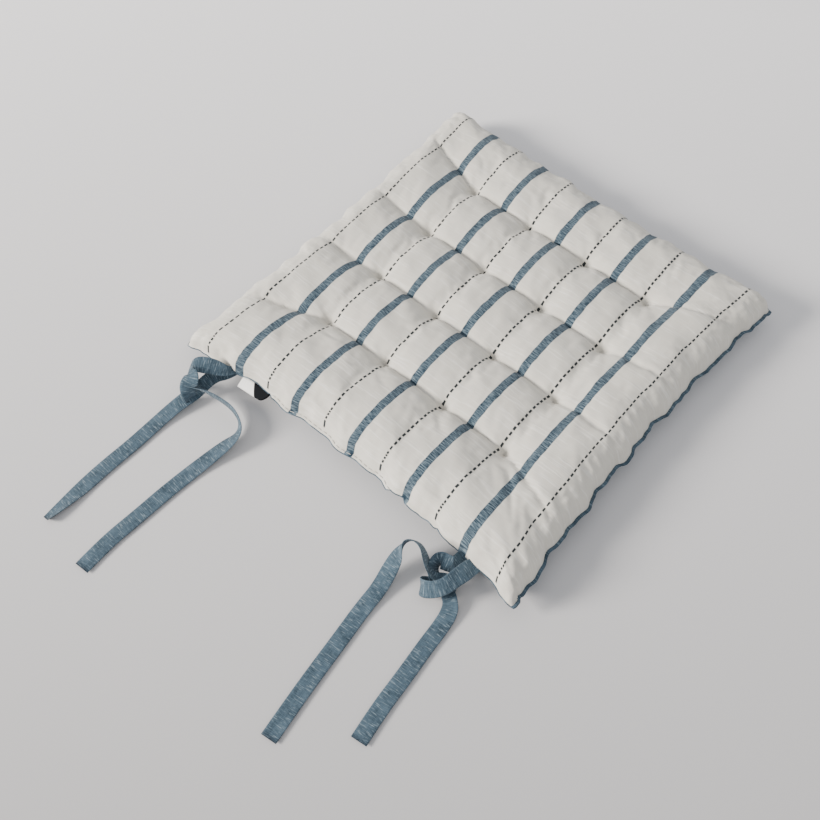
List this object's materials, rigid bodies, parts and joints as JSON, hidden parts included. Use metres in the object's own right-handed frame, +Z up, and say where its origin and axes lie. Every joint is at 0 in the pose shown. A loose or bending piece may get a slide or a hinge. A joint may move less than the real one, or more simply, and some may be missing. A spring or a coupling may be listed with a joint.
{
  "type": "tufted chair seat pad",
  "caption": "Square tufted seat pad for a dining chair, striped slub cotton over a chambray underside, with tape ties at the rear corners.",
  "frame": {"origin": "on the surface that the pad rests on, under the middle of the pad", "axes": "+Z up, +Y to the rear edge with the ties, which goes against the chair back, +X to the pad's side"},
  "size_m": [0.4, 0.6132, 0.046],
  "materials": {
    "slub_cotton": "plain-weave slub cotton, off-white with woven blue stripes and dark dashed lines",
    "chambray": "blue cotton chambray, blue warp and white weft",
    "wadding": "white fibre wadding",
    "tuft_thread": "off-white twisted tufting thread",
    "seam_thread": "pale polyester sewing thread",
    "tie_tape": "folded and edge-stitched chambray tape",
    "satin_label": "white woven satin ribbon"
  },
  "bodies": {
    "root": {"top_panel": "slub_cotton", "underside_panel": "chambray", "filling": "wadding", "tuft_r1c1": "tuft_thread", "tuft_r1c2": "tuft_thread", "tuft_r1c3": "tuft_thread", "tuft_r1c4": "tuft_thread", "tuft_r2c1": "tuft_thread", "tuft_r2c2": "tuft_thread", "tuft_r2c3": "tuft_thread", "tuft_r2c4": "tuft_thread", "tuft_r3c1": "tuft_thread", "tuft_r3c2": "tuft_thread", "tuft_r3c3": "tuft_thread", "tuft_r3c4": "tuft_thread", "tuft_r4c1": "tuft_thread", "tuft_r4c2": "tuft_thread", "tuft_r4c3": "tuft_thread", "tuft_r4c4": "tuft_thread", "perimeter_seam_thread": "seam_thread", "closing_seam_thread": "seam_thread", "bar_tack_left": "seam_thread", "bar_tack_right": "seam_thread", "tie_left_short": "tie_tape", "tie_left_long": "tie_tape", "tie_right_short": "tie_tape", "tie_right_long": "tie_tape", "care_label": "satin_label"}
  },
  "joints": []
}
